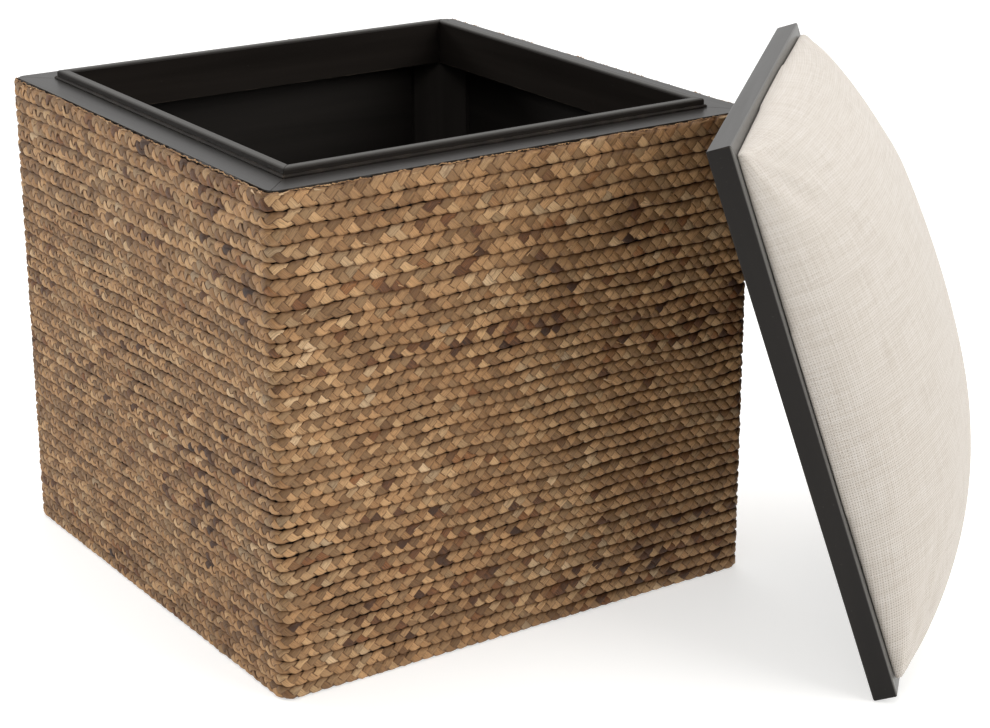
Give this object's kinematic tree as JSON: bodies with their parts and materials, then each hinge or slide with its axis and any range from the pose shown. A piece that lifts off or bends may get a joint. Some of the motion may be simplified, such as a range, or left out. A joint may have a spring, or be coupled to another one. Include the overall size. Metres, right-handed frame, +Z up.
{
  "type": "storage ottoman",
  "caption": "Square storage ottoman: a box wrapped in plaited fibre with a dark wood rim, and a loose lid with a crowned linen cushion that leans on one corner.",
  "frame": {"origin": "middle of the box's underside, on the floor that it stands on", "axes": "+Z up, -Y out of the box's front, +X to the box's right; the lid stands off the front right corner, towards +X and -Y"},
  "size_m": [0.6776, 0.6779, 0.4074],
  "materials": {
    "plait": "dry plaited water hyacinth leaf, tan to grey brown with rust and dark leaves",
    "dark_wood": "espresso brown-black satin paint over wood",
    "carcass_board": "matt near-black painted board",
    "linen": "undyed off-white coarse linen, open plain weave",
    "foam": "upholstery foam"
  },
  "bodies": {
    "box": {"carcass_front": "carcass_board", "carcass_right": "carcass_board", "carcass_back": "carcass_board", "carcass_left": "carcass_board", "carcass_floor": "carcass_board", "corner_post_front_left": "carcass_board", "corner_post_right_front": "carcass_board", "corner_post_back_right": "carcass_board", "corner_post_left_back": "carcass_board", "rim_rail_front": "dark_wood", "rim_rail_right": "dark_wood", "rim_rail_back": "dark_wood", "rim_rail_left": "dark_wood", "lip_board_front": "dark_wood", "lip_board_right": "dark_wood", "lip_board_back": "dark_wood", "lip_board_left": "dark_wood", "plait_row_01": "plait", "plait_row_02": "plait", "plait_row_03": "plait", "plait_row_04": "plait", "plait_row_05": "plait", "plait_row_06": "plait", "plait_row_07": "plait", "plait_row_08": "plait", "plait_row_09": "plait", "plait_row_10": "plait", "plait_row_11": "plait", "plait_row_12": "plait", "plait_row_13": "plait", "plait_row_14": "plait", "plait_row_15": "plait", "plait_row_16": "plait", "plait_row_17": "plait", "plait_row_18": "plait", "plait_row_19": "plait", "plait_row_20": "plait", "plait_row_21": "plait", "plait_row_22": "plait", "plait_row_23": "plait", "plait_row_24": "plait", "plait_row_25": "plait", "plait_row_26": "plait", "plait_row_27": "plait", "plait_row_28": "plait", "plait_row_29": "plait", "plait_row_30": "plait", "plait_row_31": "plait", "plait_row_32": "plait", "plait_row_33": "plait", "plait_row_34": "plait", "plait_row_35": "plait", "plait_row_36": "plait"},
    "lid": {"lid_rail_foot": "dark_wood", "lid_rail_far": "dark_wood", "lid_rail_top": "dark_wood", "lid_rail_near": "dark_wood", "lid_board": "carcass_board", "cushion_foam": "foam", "cushion_cover": "linen"}
  },
  "joints": [
    {"name": "lid_lift", "type": "slide", "parent": "box", "child": "lid", "axis": [0, 0, 1], "range_m": [0, 0.45]}
  ]
}
